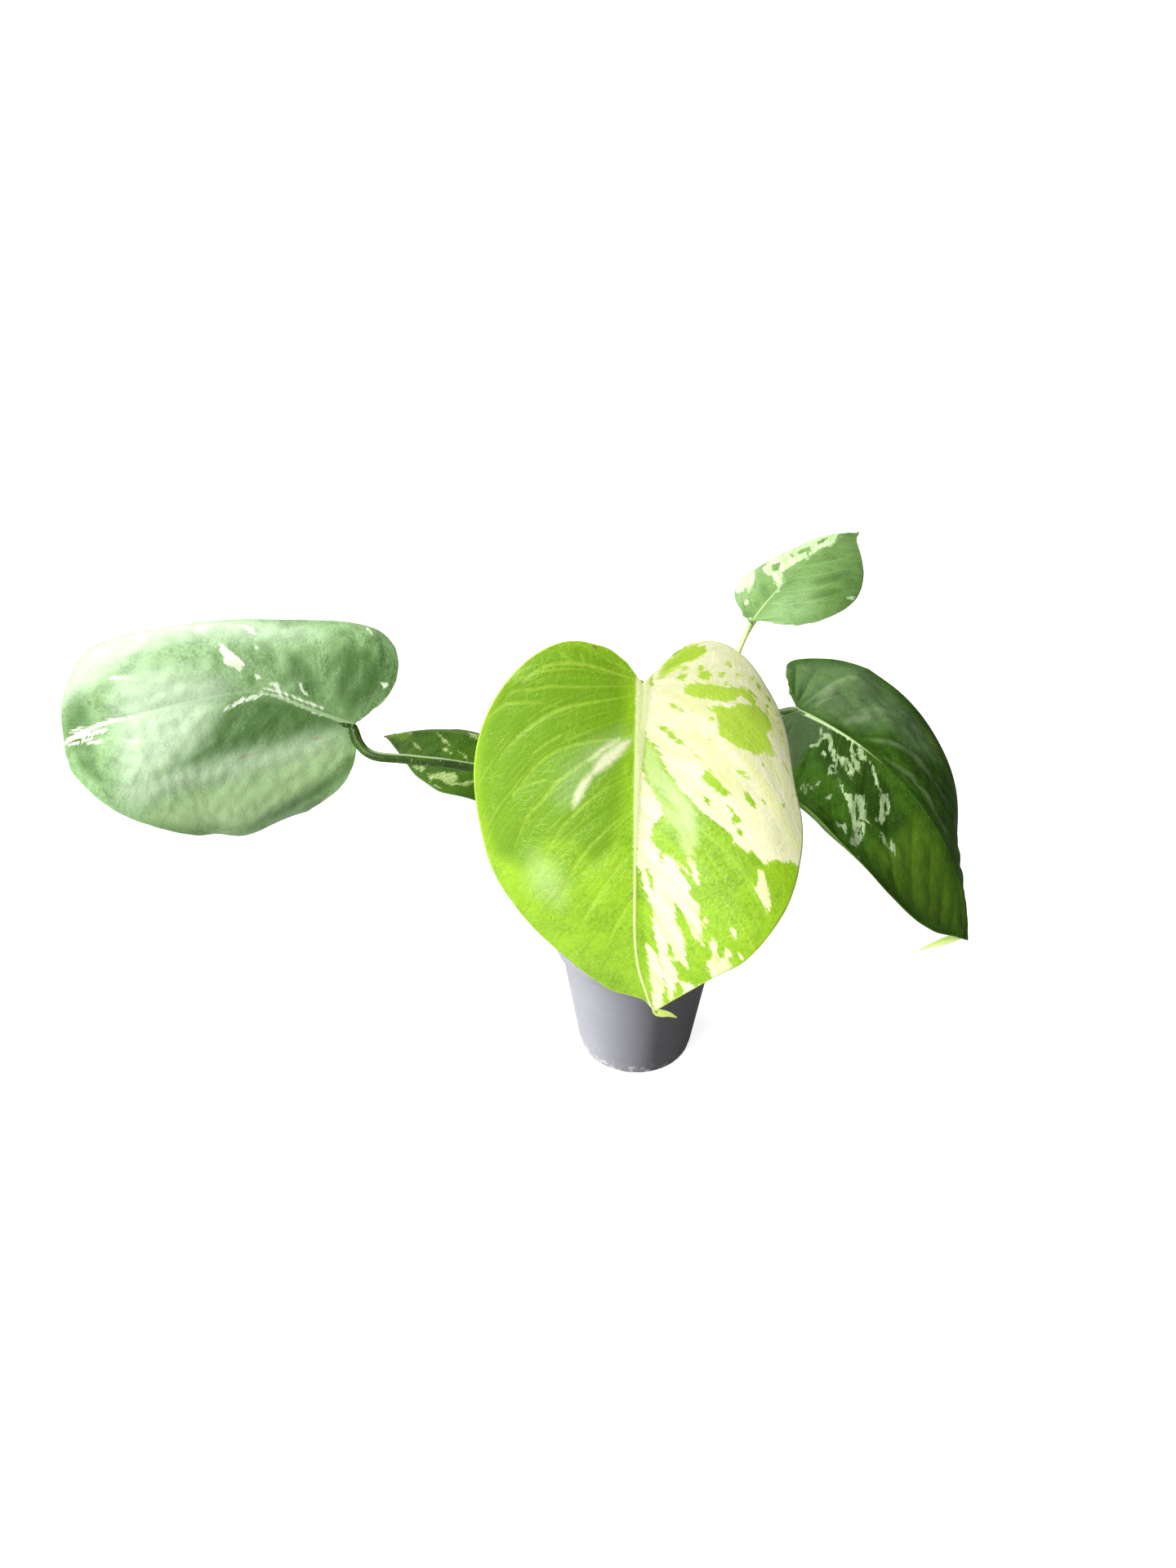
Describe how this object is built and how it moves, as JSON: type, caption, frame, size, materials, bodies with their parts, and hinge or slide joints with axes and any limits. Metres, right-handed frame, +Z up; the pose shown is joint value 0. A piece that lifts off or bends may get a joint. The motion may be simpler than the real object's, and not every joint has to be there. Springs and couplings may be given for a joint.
{
  "type": "potted swiss cheese plant",
  "caption": "Young variegated monstera with heart-shaped leaves on long stalks, rooted in a tapered gray nursery pot; stands on a flat surface.",
  "frame": {"origin": "centre of the pot's flat underside", "axes": "+Z up; +X across the plant, from the tip of the left leaf towards the right leaves; -Y the side that the largest leaf faces"},
  "size_m": [0.5388, 0.401, 0.3663],
  "materials": {
    "pot_plastic": "satin moulded plastic",
    "potting_mix": "loose moist bark and peat mix",
    "stem_skin": "smooth green skin with brown node scars",
    "petiole_skin": "smooth, slightly waxy",
    "leaf_front": "glossy, thin, cream and yellow-green",
    "leaf_left": "glossy, mid green with cream flecks",
    "leaf_right": "glossy, dark green marbled with pale gray-green",
    "leaf_back": "glossy, mid green and cream",
    "leaf_small": "glossy, dark green with olive marbling"
  },
  "bodies": {
    "root": {"pot": "pot_plastic", "soil": "potting_mix", "stem": "stem_skin", "petiole_front": "petiole_skin", "petiole_left": "petiole_skin", "petiole_right": "petiole_skin", "petiole_back": "petiole_skin", "petiole_small": "petiole_skin", "blade_front": "leaf_front", "blade_left": "leaf_left", "blade_right": "leaf_right", "blade_back": "leaf_back", "blade_small": "leaf_small"}
  },
  "joints": []
}
